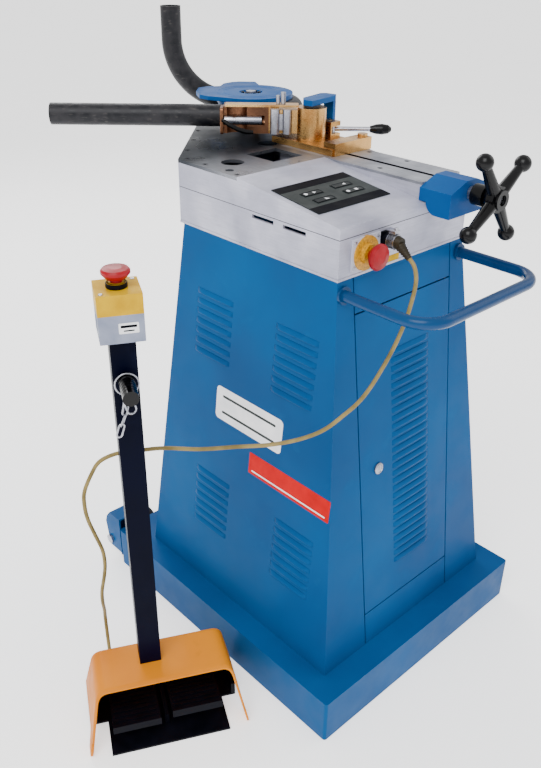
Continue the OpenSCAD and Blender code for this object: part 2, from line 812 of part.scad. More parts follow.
module lever_knob() {
    color(black) translate([146, 127, 997]) rotate([0, 90, -43]) translate([0, 0, 78]) rotate_extrude()
        polygon([[0, 0], [6, 0], [9.5, 12], [10.5, 24], [8.5, 36], [4, 42], [0, 43]]);
}

// Open-fronted switch box on the inner face of the leaning back panel
module electrical_box() {
    color(silver) translate([0, cab_back_low - cab_sheet - 0.05, tray_h]) rotate([back_lean, 0, 0])
        difference() {
            translate([-80, -66, 333]) cube([200, 66, 190]);
            translate([-77, -76, 336]) cube([194, 73, 184]);
            translate([60, -36, 323]) cylinder(r = 10, h = 20);
        }
}

module pedal_base() {
    color(black) at_station() {
        linear_extrude(4) polygon([
            [-112, -112], [112, -112], [112, -34], [140, -34], [140, 58], [-140, 58], [-140, -34], [-112, -34]
        ]);
        translate([-6, -70, 4]) cube([8, 80, 24]);
        for (x = [-118, -10, 110]) translate([x, 20, 4]) difference() {
            cube([8, 20, 28]);
            translate([-1, 10, pedal_pin_z - 4]) rotate([0, 90, 0]) cylinder(r = pedal_pin_r, h = 10);
        }
        for (x = [-140, 132]) translate([x, -34, 4]) cube([8, 92, 26]);
        translate([-132, 50, 4]) cube([264, 8, 26]);
    }
}

function hood_low(g) = [[g - 152, -112], [152 - g, -112], [152 - g, 64 - g], [g - 152, 64 - g]];
function hood_high(g) = [[g - 126, -70], [126 - g, -70], [126 - g, 38 - g], [g - 126, 38 - g]];
function forward(p) = [[p[0][0], -260], [p[1][0], -260], p[2], p[3]];

// Folded guard over the pedals, open at the front, with cheeks that reach forward
module pedal_hood() {
    color(orange_tone) at_station() difference() {
        union() {
            taper(hood_low(0), 0, hood_high(0), hood_z);
            translate([gland[0], 38, gland[1]]) rotate([-90, 0, 0]) cylinder(r1 = 10, r2 = 6, h = 26);
        }
        difference() {
            taper(forward(hood_low(hood_t)), -1, forward(hood_high(hood_t)), hood_z + 1);
            translate([-200, -300, hood_z - hood_t]) cube([400, 500, 20]);
            translate([gland[0], 38, gland[1]]) rotate([-90, 0, 0]) cylinder(r = 10, h = 26);
        }
        translate([-300, 0, 0]) rotate([90, 0, 90]) linear_extrude(600) {
            polygon([[-84, -2], [-76, 5], [-72, 16], [-64, 28], [-50, 34], [-34, 34],
                     [-34, 30.2], [90, 30.2], [90, -2]]);
            polygon([[-120, -2], [-99, -2], [-104, 3], [-106.5, 9], [-107, 16], [-120, 16]]);
        }
        translate([gland[0], 20, gland[1]]) rotate([-90, 0, 0]) cylinder(r = cord_d / 2 + 0.2, h = 60);
    }
}

module pedal_pin() {
    color(silver) at_station() translate([-119, 30, pedal_pin_z]) rotate([0, 90, 0])
        cylinder(r = pedal_pin_r, h = 238);
}

// Ribbed treadle hinged at its back edge and tilted up towards the toe
module pedal(x0, w, tilt) {
    color(black) at_station() translate([x0, 30, pedal_pin_z]) difference() {
        union() {
            rotate([0, 90, 0]) cylinder(r = 9.5, h = w);
            rotate([-tilt, 0, 0]) {
                translate([1, -124, 2]) cube([w - 2, 122, 6]);
                translate([1, -124, -6]) cube([w - 2, 5, 9]);
                for (y = [-112 : 12 : -30]) translate([6, y, 7]) cube([w - 12, 5, 3]);
            }
        }
        translate([-1, 0, 0]) rotate([0, 90, 0]) cylinder(r = pedal_pin_r + run_fit, h = w + 2);
    }
}

module left_pedal() pedal(-106, 92, 8);
module right_pedal() pedal(6, 98, 12);

module station_post() {
    h = post_w / 2;
    color([0.05, 0.06, 0.12]) at_station() translate([post_x, 0, 0]) difference() {
        union() {
            translate([-h, -h, hood_z]) cube([post_w, post_w, post_top - hood_z]);
            translate([-2, h, hood_z]) rotate([90, 0, 90])
                linear_extrude(4) polygon([[0, 0], [17, 0], [0, 46]]);
            translate([-5, h, clip_z - 7]) cube([10, 14, 14]);
        }
        translate([3 - h, 3 - h, hood_z - 1]) cube([post_w - 6, post_w - 6, 800]);
        translate([-20, 27.5, clip_z]) rotate([0, 90, 0]) cylinder(r = cord_d / 2 + 0.2, h = 40);
        translate([0, -30, lock_pin_z]) rotate([-90, 0, 0]) cylinder(r = 6 + run_fit, h = 60);
    }
}
lock_pin_z = 738;

module station_box() {
    color([0.72, 0.73, 0.78]) at_station() translate([post_x, 0, post_top]) difference() {
        translate([-34, -34, 0]) cube([68, 68, 45]);
        translate([-31, -31, 3]) cube([62, 62, 60]);
        translate([0, 0, -1]) cylinder(r = 10, h = 10);
    }
}

module station_lid() {
    color([0.92, 0.80, 0.12]) at_station() translate([post_x, 0, post_top + 45]) difference() {
        union() {
            translate([-34, -34, 0]) cube([68, 68, 32]);
            cylinder(r = 15, h = 40);
        }
        translate([-31, -31, -1]) cube([62, 62, 30]);
        cylinder(r = 9, h = 60);
    }
}

module station_button() {
    color("crimson") at_station() translate([post_x, 0, post_top + box_h + 2]) mushroom(16);
}

// Black hand grip of the locking pin through the post
module lock_pin() {
    color(black) at_station() translate([post_x, -post_w / 2, lock_pin_z]) {
        rotate([90, 0, 0]) difference() {
            translate([0, 0, 3]) cylinder(r = 12.5, h = 62);
            for (z = [14 : 8 : 54]) translate([0, 0, z]) difference() {
                cylinder(r = 14, h = 2);
                cylinder(r = 11.5, h = 3);
            }
        }
        rotate([-90, 0, 0]) translate([0, 0, -4]) cylinder(r = 6, h = 54);
    }
}

// Tube swept along a list of points with a regular ring at each
function unit(v) = v / norm(v);
function heading(p, i) = unit(p[min(i + 1, len(p) - 1)] - p[max(i - 1, 0)]);
function ring(c, t, r, n) =
    let (a = unit(cross(t, [0.31, 0.62, 0.21])), b = cross(t, a))
    [for (k = [0 : n - 1]) c + r * (cos(360 * k / n) * a + sin(360 * k / n) * b)];

// Smooth path through the given points, with m short steps between neighbours
function blend_point(a, b, c, d, t) =
    0.5 * (2 * b + (c - a) * t + (2 * a - 5 * b + 4 * c - d) * t * t
        + (3 * b - a - 3 * c + d) * t * t * t);
function smooth_path(p, m) = concat(
    [for (i = [0 : len(p) - 2], k = [0 : m - 1])
        blend_point(p[max(i - 1, 0)], p[i], p[i + 1], p[min(i + 2, len(p) - 1)], k / m)],
    [p[len(p) - 1]]
);

module sweep_tube(p, r, n) {
    m = len(p);
    polyhedron(
        points = [for (i = [0 : m - 1]) each ring(p[i], heading(p, i), r, n)],
        faces = concat(
            [[for (k = [0 : n - 1]) k], [for (k = [n - 1 : -1 : 0]) (m - 1) * n + k]],
            [for (i = [0 : m - 2], k = [0 : n - 1])
                [i * n + k, (i + 1) * n + k, (i + 1) * n + (k + 1) % n, i * n + (k + 1) % n]]
        )
    );
}

module control_cord() {
    color([0.74, 0.67, 0.50]) sweep_tube(smooth_path(cord_route, 2), cord_d / 2, 8);
}

base_tray();
wheel_brackets();
rear_axle();
left_wheel();
right_wheel();
left_side_shell();
right_side_shell();
back_panel();
front_panels();
door();
door_lock();
hinge_pins();
push_handle();
head_lower_frame();
head_cover();
deck_plate();
deck_screws();
control_overlay();
start_key();
reverse_key();
angle_key();
stop_key();
estop_ring();
estop_button();
front_socket();
cord_plug();
plug_boot();
drive_motor();
gearbox();
bending_shaft();
former();
former_hook();
workpiece_tube();
slide_bed();
guide_rails();
carriage();
lead_nut();
lead_screw();
handwheel();
screw_housing();
pivot_pin();
pin_handle();
die_holder();
counter_die();
die_pins();
clamp_block();
clamp_lever();
lever_knob();
electrical_box();
pedal_base();
pedal_hood();
pedal_pin();
left_pedal();
right_pedal();
station_post();
station_box();
station_lid();
station_button();
lock_pin();
control_cord();
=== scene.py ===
import math

import bmesh
import bpy
from mathutils import Matrix, Vector


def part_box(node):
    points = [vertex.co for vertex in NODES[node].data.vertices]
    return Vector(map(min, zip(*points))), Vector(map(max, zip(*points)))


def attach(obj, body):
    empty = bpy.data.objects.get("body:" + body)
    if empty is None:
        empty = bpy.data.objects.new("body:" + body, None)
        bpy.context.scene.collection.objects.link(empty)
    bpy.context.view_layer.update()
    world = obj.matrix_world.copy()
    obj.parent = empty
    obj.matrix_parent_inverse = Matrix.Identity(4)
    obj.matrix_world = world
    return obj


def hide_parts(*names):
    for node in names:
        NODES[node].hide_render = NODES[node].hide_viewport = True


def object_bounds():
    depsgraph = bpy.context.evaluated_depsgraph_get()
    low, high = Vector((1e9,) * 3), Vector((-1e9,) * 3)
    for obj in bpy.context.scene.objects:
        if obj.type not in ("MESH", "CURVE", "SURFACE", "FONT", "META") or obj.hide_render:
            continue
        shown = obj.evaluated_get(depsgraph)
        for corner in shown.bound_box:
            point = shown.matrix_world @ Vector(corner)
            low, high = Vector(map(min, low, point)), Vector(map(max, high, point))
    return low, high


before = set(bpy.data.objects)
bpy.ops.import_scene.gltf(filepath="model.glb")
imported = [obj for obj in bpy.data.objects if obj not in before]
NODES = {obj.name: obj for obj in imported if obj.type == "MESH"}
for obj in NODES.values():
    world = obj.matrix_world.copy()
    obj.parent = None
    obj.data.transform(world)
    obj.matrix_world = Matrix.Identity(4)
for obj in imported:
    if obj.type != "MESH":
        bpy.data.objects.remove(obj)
CAD_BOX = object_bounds()
MM = 0.001
ROOT = "machine"
TURNED_OUT = Matrix.Rotation(math.pi / 2, 4, "X")


# ---------------------------------------------------------------- places
# A place is a frame on the object: X to the right as seen from outside, Z up the
# surface and -Y out of it, so a piece is drawn flat and put where it belongs.

def facing(origin, out):
    inward = -Vector(out).normalized()
    up = (Vector((0, 0, 1)) - inward.z * inward).normalized()
    right = inward.cross(up)
    return Matrix.Translation(origin) @ Matrix((right, inward, up)).transposed().to_4x4()


def leaning(x, y, out_x, out_y, run):
    """Frame on a cabinet face that starts at x, y on the tray and leans in by run."""
    return facing((x, y, shell_lo.z), (out_x * cab_rise, out_y * cab_rise, run))


shell_lo, shell_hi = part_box("left_side_shell")
head_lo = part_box("head_lower_frame")[0]
cab_rise = shell_hi.z - shell_lo.z
side_run = head_lo.x - shell_lo.x
back_run = 58 * MM
on_front = leaning(0, shell_lo.y, 0, -1, head_lo.y - shell_lo.y)
on_left = leaning(shell_lo.x, 0, -1, 0, side_run)
on_right = leaning(-shell_lo.x, 0, 1, 0, side_run)
on_back = leaning(0, shell_hi.y, 0, 1, back_run)
side_stretch = math.hypot(1, side_run / cab_rise)
nose_z = 939.5 * MM
on_slope = Matrix.Translation((0, head_lo.y, nose_z)) @ Matrix.Rotation(math.radians(7.356), 4, "X")
on_nose = facing((0, head_lo.y, 0), (0, -1, 0))
station = Matrix.Translation((-458 * MM, -48 * MM, 0)) @ Matrix.Rotation(math.radians(-27), 4, "Z")
post_x = -20 * MM
former_c = Vector((108, 322, 0)) * MM
at_die = Matrix.Translation((48 * MM, 257.6 * MM, 0)) @ Matrix.Rotation(math.radians(137), 4, "Z")


# ---------------------------------------------------------------- camera and light

def add_camera():
    azimuth, elevation, roll = (math.radians(a) for a in (-43.03, 29.25, 0.61))
    back = Vector((
        math.sin(azimuth) * math.cos(elevation),
        -math.cos(azimuth) * math.cos(elevation),
        math.sin(elevation),
    ))
    level = (-back).cross(Vector((0, 0, 1))).normalized()
    up = level.cross(-back)
    right = level * math.cos(roll) + up * math.sin(roll)
    over = up * math.cos(roll) - level * math.sin(roll)
    data = bpy.data.cameras.new("camera")
    data.lens = 38.2
    camera = bpy.data.objects.new("camera", data)
    camera.matrix_world = (
        Matrix.Translation((-1.069, -1.008, 1.344))
        @ Matrix((right, over, back)).transposed().to_4x4()
    )
    bpy.context.collection.objects.link(camera)
    bpy.context.scene.camera = camera


def add_light(name, place, target, size, power, colour=(1, 1, 1)):
    data = bpy.data.lights.new(name, "AREA")
    data.energy = power
    data.size = size
    data.color = colour
    lamp = bpy.data.objects.new(name, data)
    lamp.location = place
    lamp.rotation_euler = (Vector(place) - Vector(target)).to_track_quat("Z", "Y").to_euler()
    bpy.context.collection.objects.link(lamp)


def add_studio():
    world = bpy.data.worlds.new("studio")
    bpy.context.scene.world = world
    world.use_nodes = True
    sky = world.node_tree.nodes["Background"]
    sky.inputs["Color"].default_value = (1, 1, 1, 1)
    sky.inputs["Strength"].default_value = 1.1
    middle = (0, 0, 0.6)
    add_light("key", (-2.9, -1.5, 4.3), middle, 3.0, 185)
    add_light("fill", (3.0, -1.6, 3.0), middle, 2.6, 25)
    add_light("rim", (0.8, 3.0, 2.6), middle, 2.0, 60)


# ---------------------------------------------------------------- mesh tools

def ring_points(centre, a, b, radius, sides):
    return [
        centre + radius * (math.cos(t) * a + math.sin(t) * b)
        for t in (2 * math.pi * k / sides for k in range(sides))
    ]


def skin(bm, rings, closed):
    """Faces between rings of points; the ends are capped unless the sweep is closed."""
    made = [[bm.verts.new(p) for p in ring] for ring in rings]
    count = len(made)
    for i in range(count if closed else count - 1):
        one, two = made[i], made[(i + 1) % count]
        for k in range(len(one)):
            n = (k + 1) % len(one)
            bm.faces.new((one[k], one[n], two[n], two[k]))
    if not closed:
        bm.faces.new(list(reversed(made[0])))
        bm.faces.new(made[-1])


def sweep(bm, path, radius, sides=10, closed=False):
    """Round bar of the given radius, a number or a list, along a path of points."""
    path = [Vector(p) for p in path]
    count = len(path)
    rings = []
    a = None
    for i, p in enumerate(path):
        after = path[(i + 1) % count] if closed else path[min(i + 1, count - 1)]
        before = path[i - 1] if closed or i else path[0]
        along = (after - before).normalized()
        if a is None:
            a = along.orthogonal().normalized()
        a = (a - a.dot(along) * along).normalized()
        r = radius[i] if isinstance(radius, (list, tuple)) else radius
        rings.append(ring_points(p, a, along.cross(a), r, sides))
    skin(bm, rings, closed)


def lathe(bm, place, profile, sides=32, closed=False):
    """Turned solid: profile is a list of (radius, height) along the place's Z, in mm."""
    x, y = Vector((1, 0, 0)), Vector((0, 1, 0))
    rings = [
        [place @ p for p in ring_points(Vector((0, 0, h * MM)), x, y, max(r, 0.02) * MM, sides)]
        for r, h in profile
    ]
    skin(bm, rings, closed)


def hoop(bm, place, radius, wire, sides, across=6):
    """Closed round wire about the place's Z, in mm."""
    x, y = Vector((1, 0, 0)), Vector((0, 1, 0))
    around = ring_points(Vector((0, 0, 0)), x, y, radius * MM, sides)
    sweep(bm, [place @ p for p in around], wire * MM, across, True)


def rounded(w, h, r, cx=0, cy=0):
    """Outline of a rectangle with round corners, in mm, anticlockwise."""
    steps = 5
    return [
        (
            cx + sx * (w / 2 - r) + r * math.cos(math.radians(start + 90 * k / steps)),
            cy + sy * (h / 2 - r) + r * math.sin(math.radians(start + 90 * k / steps)),
        )
        for sx, sy, start in ((1, 1, 0), (-1, 1, 90), (-1, -1, 180), (1, -1, 270))
        for k in range(steps + 1)
    ]


def slab(bm, place, outline, low, high):
    """Outline in the place's X and Y, drawn out along Z from low to high, in mm."""
    skin(bm, [[place @ Vector((x * MM, y * MM, z * MM)) for x, y in outline] for z in (low, high)], False)


def plate(bm, place, outline, low, high):
    """Outline on a facing frame, in its X and Z, standing out of it from low to high, in mm."""
    slab(bm, place @ TURNED_OUT, outline, low, high)


def piece(name, bm, material, body, bevel=0.0, thick=0.0, recalc=True):
    """A finished object from a bmesh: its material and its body."""
    if recalc:
        bmesh.ops.recalc_face_normals(bm, faces=bm.faces)
    mesh = bpy.data.meshes.new(name)
    bm.to_mesh(mesh)
    bm.free()
    mesh.shade_smooth()
    mesh.set_sharp_from_angle(angle=math.radians(35))
    obj = bpy.data.objects.new(name, mesh)
    bpy.context.collection.objects.link(obj)
    mesh.materials.append(material)
    if thick:
        solid = obj.modifiers.new("thickness", "SOLIDIFY")
        solid.thickness = thick
        solid.offset = -1
    if bevel:
        edge = obj.modifiers.new("edges", "BEVEL")
        edge.width = bevel
        edge.segments = 2
        edge.limit_method = "ANGLE"
        edge.angle_limit = math.radians(40)
    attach(obj, body)
    return obj


# ---------------------------------------------------------------- materials

def rgb(r, g, b):
    """A colour given in 0-255 display steps as linear light."""
    return tuple(
        v / 255 / 12.92 if v <= 10 else ((v / 255 + 0.055) / 1.055) ** 2.4 for v in (r, g, b)
    ) + (1,)


class Finish:
    """A procedural material: a Principled surface and the nodes that vary it."""

    def __init__(self, name, rough, metal=0.0, specular=0.5, coat=0.0):
        self.material = bpy.data.materials.new(name)
        self.material.use_nodes = True
        self.tree = self.material.node_tree
        self.shader = self.tree.nodes["Principled BSDF"]
        self.shader.inputs["Metallic"].default_value = metal
        self.shader.inputs["Roughness"].default_value = rough
        self.shader.inputs["Specular IOR Level"].default_value = specular
        self.shader.inputs["Coat Weight"].default_value = coat
        self.shader.inputs["Coat Roughness"].default_value = 0.12
        self.place = self.node("ShaderNodeTexCoord").outputs["Object"]

    def node(self, kind, **sockets):
        made = self.tree.nodes.new(kind)
        for key, value in sockets.items():
            self.put(value, made.inputs[key.replace("_", " ")])
        return made

    def put(self, value, socket):
        if isinstance(value, bpy.types.NodeSocket):
            self.tree.links.new(value, socket)
        else:
            socket.default_value = value

    def noise(self, scale, detail=4.0, stretch=(1, 1, 1)):
        mapped = self.node("ShaderNodeMapping", Vector=self.place, Scale=stretch)
        made = self.node("ShaderNodeTexNoise", Vector=mapped.outputs[0], Scale=scale, Detail=detail)
        return made.outputs["Fac"]

    def spread(self, value, low, high, to_low, to_high):
        made = self.node("ShaderNodeMapRange", Value=value)
        for key, number in zip(("From Min", "From Max", "To Min", "To Max"), (low, high, to_low, to_high)):
            made.inputs[key].default_value = number
        return made.outputs[0]

    def mix(self, amount, one, two):
        made = self.node("ShaderNodeMix")
        made.data_type = "RGBA"
        self.put(amount, made.inputs["Factor"])
        self.put(one, made.inputs[6])
        self.put(two, made.inputs[7])
        return made.outputs[2]

    def times(self, one, two):
        made = self.node("ShaderNodeMath")
        made.operation = "MULTIPLY"
        self.put(one, made.inputs[0])
        self.put(two, made.inputs[1])
        return made.outputs[0]

    def colour(self, socket):
        self.put(socket, self.shader.inputs["Base Color"])

    def roughness(self, socket):
        self.put(socket, self.shader.inputs["Roughness"])

    def bump(self, height, depth, strength=0.5):
        made = self.node("ShaderNodeBump", Height=height, Strength=strength, Distance=depth)
        self.put(made.outputs[0], self.shader.inputs["Normal"])

    def edges(self, width):
        """About 1 on sharp edges and 0 on flats, broken up by a fine noise."""
        round_normal = self.node("ShaderNodeBevel", Radius=width)
        round_normal.samples = 4
        flat_normal = self.node("ShaderNodeNewGeometry").outputs["Normal"]
        made = self.node("ShaderNodeVectorMath")
        made.operation = "DOT_PRODUCT"
        self.put(round_normal.outputs[0], made.inputs[0])
        self.put(flat_normal, made.inputs[1])
        edge = self.spread(made.outputs["Value"], 0.985, 0.90, 0.0, 1.0)
        return self.times(edge, self.spread(self.noise(160), 0.45, 0.62, 0.0, 1.0))


def painted(name, main, deep, worn, rough=0.38, grain=700, depth=0.00012, wear=0.0012, coat=0.05,
            specular=0.3):
    """Enamel or powder coat: slow shade changes, orange peel and rubbed edges."""
    f = Finish(name, rough, specular=specular, coat=coat)
    slow = f.noise(3.5)
    smudge = f.noise(24, 6)
    base = f.mix(f.spread(slow, 0.35, 0.65, 0, 1), main, deep)
    base = f.mix(f.spread(smudge, 0.62, 0.8, 0, 0.25), base, worn)
    f.colour(f.mix(f.times(f.edges(wear), 0.55), base, worn))
    f.roughness(f.spread(smudge, 0.3, 0.7, rough - 0.07, rough + 0.1))
    f.bump(f.noise(grain, 2), depth, 0.35)
    return f.material


def metal(name, light, dark, rough, stretch=(1, 1, 1), scale=60, depth=0.00008, metallic=1.0, wear=None):
    """Bare metal: tool marks along one direction, stains, and brighter rubbed edges."""
    f = Finish(name, rough, metallic)
    marks = f.noise(scale * 9, 3, stretch)
    stain = f.noise(scale * 0.25, 5)
    base = f.mix(f.spread(stain, 0.35, 0.68, 0, 1), light, dark)
    base = f.mix(f.spread(marks, 0.35, 0.75, 0, 0.35), base, dark)
    if wear:
        base = f.mix(f.times(f.edges(0.0011), 0.7), base, wear)
    f.colour(base)
    f.roughness(f.spread(marks, 0.3, 0.7, rough - 0.08, rough + 0.12))
    f.bump(marks, depth, 0.4)
    return f.material


def plastic(name, main, deep, rough=0.4, grain=900, depth=0.0001, coat=0.0, specular=0.3):
    """Moulded plastic or rubber: fine grain, faint sink marks and dulled patches."""
    f = Finish(name, rough, specular=specular, coat=coat)
    patch = f.noise(35, 5)
    f.colour(f.mix(f.spread(patch, 0.35, 0.7, 0, 1), main, deep))
    f.roughness(f.spread(patch, 0.3, 0.7, rough - 0.06, rough + 0.1))
    f.bump(f.noise(grain, 3), depth, 0.4)
    return f.material


def deck_finish():
    """Ground steel deck with a painted reflection: dark at the back, lighter towards the control panel."""
    f = Finish("deck_ground", 0.3, 0.6, 0.3)
    y = f.node("ShaderNodeSeparateXYZ", Vector=f.place).outputs["Y"]
    cloud = f.noise(14, 5)
    marks = f.noise(500, 2, (1, 0.08, 1))
    # Painted reflection: light near the control panel, darkening from y 60 mm to y 190 mm towards the back.
    painted_reflection_fade = f.spread(y, 60 * MM, 190 * MM, 0, 1)
    base = f.mix(painted_reflection_fade, rgb(140, 142, 150), rgb(34, 40, 48))
    base = f.mix(f.spread(cloud, 0.45, 0.75, 0, 0.35), base, rgb(60, 66, 74))
    f.colour(f.mix(f.spread(marks, 0.4, 0.7, 0, 0.25), base, rgb(24, 28, 34)))
    f.roughness(f.spread(cloud, 0.3, 0.7, 0.22, 0.42))
    f.bump(marks, 0.00005, 0.3)
    return f.material


def tube_finish():
    """Mill-scaled tube: blue-grey scale in mottled patches with lighter drag marks."""
    f = Finish("tube_scale", 0.42, 0.1, 0.25)
    mottle = f.noise(55, 8)
    drag = f.noise(240, 3, (0.25, 0.25, 1))
    base = f.mix(f.spread(mottle, 0.38, 0.66, 0, 1), rgb(18, 19, 24), rgb(40, 39, 42))
    f.colour(f.mix(f.spread(drag, 0.6, 0.78, 0, 0.4), base, rgb(96, 92, 88)))
    f.roughness(f.spread(mottle, 0.3, 0.7, 0.32, 0.58))
    f.bump(mottle, 0.0002, 0.35)
    return f.material


def estop_finish():
    """Square plate of brushed metal under a round yellow collar."""
    f = Finish("estop_surround", 0.4, specular=0.4)
    centre = f.node("ShaderNodeVectorMath", Vector=f.place)
    centre.operation = "SUBTRACT"
    middle = (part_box("estop_button")[0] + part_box("estop_button")[1]) / 2
    centre.inputs[1].default_value = middle
    flat = f.node("ShaderNodeVectorMath")
    flat.operation = "MULTIPLY"
    f.put(centre.outputs[0], flat.inputs[0])
    flat.inputs[1].default_value = (1, 0, 1)
    far = f.node("ShaderNodeVectorMath")
    far.operation = "LENGTH"
    f.put(flat.outputs[0], far.inputs[0])
    radius = far.outputs["Value"]
    ribs = f.node("ShaderNodeTexNoise", Vector=f.place, Scale=260.0)
    yellow = f.mix(f.spread(ribs.outputs["Fac"], 0.35, 0.7, 0, 1), rgb(208, 150, 16), rgb(150, 104, 14))
    steel = f.mix(f.noise(40), rgb(186, 186, 198), rgb(168, 168, 182))
    collar_r = 29.2 * MM
    f.colour(f.mix(f.spread(radius, collar_r, collar_r + 0.4 * MM, 0, 1), yellow, steel))
    f.roughness(f.spread(f.noise(90), 0.3, 0.7, 0.34, 0.5))
    f.bump(f.noise(500, 2), 0.0001, 0.3)
    return f.material


def make_finishes():
    return {
        "blue_paint": painted("blue_enamel", rgb(0, 74, 128), rgb(0, 62, 112), rgb(30, 90, 140),
                              specular=0.06, coat=0.01),
        "bright_blue": painted("bright_blue_enamel", rgb(0, 82, 146), rgb(0, 64, 124),
                               rgb(50, 116, 176), rough=0.4, coat=0.03, specular=0.08),
        "handle_paint": painted("handle_enamel", rgb(0, 58, 104), rgb(0, 40, 80), rgb(30, 90, 140),
                                rough=0.26, coat=0.12, specular=0.15),
        "orange_paint": painted("orange_enamel", rgb(222, 134, 4), rgb(198, 110, 0), rgb(120, 66, 20),
                                rough=0.5, specular=0.14),
        "navy_paint": painted("navy_enamel", rgb(0, 3, 28), rgb(0, 2, 18), rgb(22, 28, 56), rough=0.4,
                              specular=0.05, coat=0.0),
        "motor_paint": painted("motor_enamel", rgb(60, 74, 92), rgb(44, 56, 74), rgb(140, 140, 142)),
        "silver_cast": metal("brushed_casing", rgb(190, 190, 205), rgb(152, 153, 170), 0.46,
                             (0.06, 0.06, 1), 45, 0.00005, 0.35, rgb(226, 226, 232)),
        "bright_steel": metal("bright_steel", rgb(196, 196, 204), rgb(140, 142, 152), 0.3,
                              (1, 0.06, 1), 70, wear=rgb(240, 240, 242)),
        "rail_steel": metal("ground_rail", rgb(176, 178, 186), rgb(128, 130, 140), 0.44,
                            (1, 0.05, 1), 70, metallic=0.8, wear=rgb(226, 226, 230)),
        "dark_steel": metal("blackened_steel", rgb(56, 58, 64), rgb(26, 28, 34), 0.38, (0.3, 1, 1), 50,
                            metallic=0.8, wear=rgb(130, 130, 136)),
        "brass_block": metal("machined_brass", rgb(230, 186, 120), rgb(168, 120, 66), 0.27, (1, 0.1, 1),
                             60, wear=rgb(255, 236, 180)),
        "bronze_block": metal("aged_bronze", rgb(150, 104, 76), rgb(84, 58, 44), 0.34, (0.1, 1, 1), 50,
                              wear=rgb(224, 170, 122)),
        "deck_steel": deck_finish(),
        "tube_scale": tube_finish(),
        "estop_surround": estop_finish(),
        "black_plastic": plastic("gloss_black", rgb(2, 2, 3), rgb(6, 6, 8), 0.22, coat=0.05,
                                 specular=0.2),
        "matte_black": plastic("matte_black", rgb(2, 3, 9), rgb(6, 7, 18), 0.45, specular=0.1),
        "overlay": plastic("overlay_film", rgb(48, 53, 53), rgb(40, 45, 45), 0.4, 1400, 0.00004,
                           specular=0.1),
        "key_film": plastic("key_film", rgb(36, 41, 42), rgb(28, 32, 34), 0.38, 1400, 0.00004,
                            specular=0.1),
        "red_plastic": plastic("red_plastic", rgb(158, 2, 22), rgb(126, 0, 14), 0.34, coat=0.05,
                               specular=0.2),
        "yellow_plastic": plastic("yellow_plastic", rgb(206, 164, 0), rgb(184, 140, 0), 0.45, specular=0.08),
        "grey_plastic": plastic("grey_plastic", rgb(140, 146, 164), rgb(120, 127, 148), 0.46, specular=0.15),
        "wheel_rubber": plastic("wheel_rubber", rgb(14, 14, 16), rgb(32, 31, 31), 0.62, 500, 0.0004),
        "cord_jacket": plastic("cord_jacket", rgb(142, 124, 76), rgb(110, 95, 54), 0.45, 600, 0.0002,
                               specular=0.15),
        "boot_rubber": plastic("boot_rubber", rgb(44, 34, 12), rgb(22, 18, 8), 0.5, 500, 0.0003),
        "white_film": plastic("white_film", rgb(236, 236, 238), rgb(220, 222, 226), 0.35, 1500, 0.00004),
        "red_film": plastic("red_film", rgb(196, 0, 8), rgb(176, 0, 6), 0.4, 1500, 0.00004, specular=0.06),
        "dark_film": plastic("dark_film", rgb(1, 2, 10), rgb(3, 4, 14), 0.4, 1500, 0.00004, specular=0.03),
    }


NODE_FINISH = {"workpiece_tube": "tube_scale", "start_key": "key_film", "reverse_key": "key_film",
               "angle_key": "key_film", "stop_key": "key_film", "estop_ring": "estop_surround",
               "guide_rails": "rail_steel", "push_handle": "handle_paint"}


def dress_nodes():
    for name, obj in NODES.items():
        for used in obj.material_slots:
            slot_name = used.material.name.split(".")[0]
            used.material = FINISH[NODE_FINISH.get(name, slot_name)]


# ---------------------------------------------------------------- the control cord

def station_point(x, y, z):
    return tuple(station @ (Vector((x, y, z)) * MM))


CORD_D = 7 * MM
BOOT_BASE = Vector((-57, -222, 901)) * MM
BOOT_DIR = Vector((0, -math.cos(math.radians(38)), -math.sin(math.radians(38))))
GLAND_X = -92
GLAND_Z = 84
CLIP_Z = 572


def cord_points():
    """The route from the front plug to the gland at the back of the pedal guard."""
    held = [BOOT_BASE + 28 * MM * BOOT_DIR, BOOT_BASE + 46 * MM * BOOT_DIR]
    hanging = [
        (-57, -265, 857), (-57, -266, 838), (-60, -264, 812), (-66, -262, 785), (-79, -262, 760),
        (-95, -262, 736), (-118, -262, 709), (-146, -262, 682), (-174, -262, 664), (-203, -258, 650),
        (-228, -238, 622), (-256, -210, 602), (-292, -176, 590), (-332, -138, 585), (-376, -94, 578),
    ]
    clip = [station_point(x, y, z) for x, y, z in (
        (40, 25, 571), (5, 27.5, CLIP_Z), (-20, 27.5, CLIP_Z), (-45, 27.5, CLIP_Z), (-72, 26, 562))]
    falling = [
        (-523, 18, 536), (-537, 22, 505), (-540, 22, 478), (-537, 22, 446), (-526, 24, 405),
        (-513, 28, 360), (-508, 34, 320), (-508, 42, 285), (-510, 54, 240), (-505, 66, 200),
        (-496, 80, 165),
    ]
    gland = [station_point(GLAND_X, y, z) for y, z in (
        (108, 135), (105, 110), (95, 93), (80, 85), (66, GLAND_Z), (54, GLAND_Z), (42, GLAND_Z))]
    return (
        [tuple(p) for p in held] + [tuple(v * MM for v in p) for p in hanging]
        + clip + [tuple(v * MM for v in p) for p in falling] + gland
    )


def add_cord():
    route = [Vector(p) for p in cord_points()]
    data = bpy.data.curves.new("cord", "CURVE")
    data.dimensions = "3D"
    data.bevel_depth = CORD_D / 2
    data.bevel_resolution = 4
    data.resolution_u = 6
    spline = data.splines.new("BEZIER")
    spline.bezier_points.add(len(route) - 1)
    for i, (knot, p) in enumerate(zip(spline.bezier_points, route)):
        lean = (route[min(i + 1, len(route) - 1)] - route[max(i - 1, 0)]) / 6
        knot.co = p
        knot.handle_left = p - lean
        knot.handle_right = p + lean
    data.materials.append(FINISH["cord_jacket"])
    cord = bpy.data.objects.new("cord", data)
    bpy.context.collection.objects.link(cord)
    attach(cord, ROOT)
    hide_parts("control_cord")


# ---------------------------------------------------------------- sheet metal details

LOUVRE_PITCH = 20


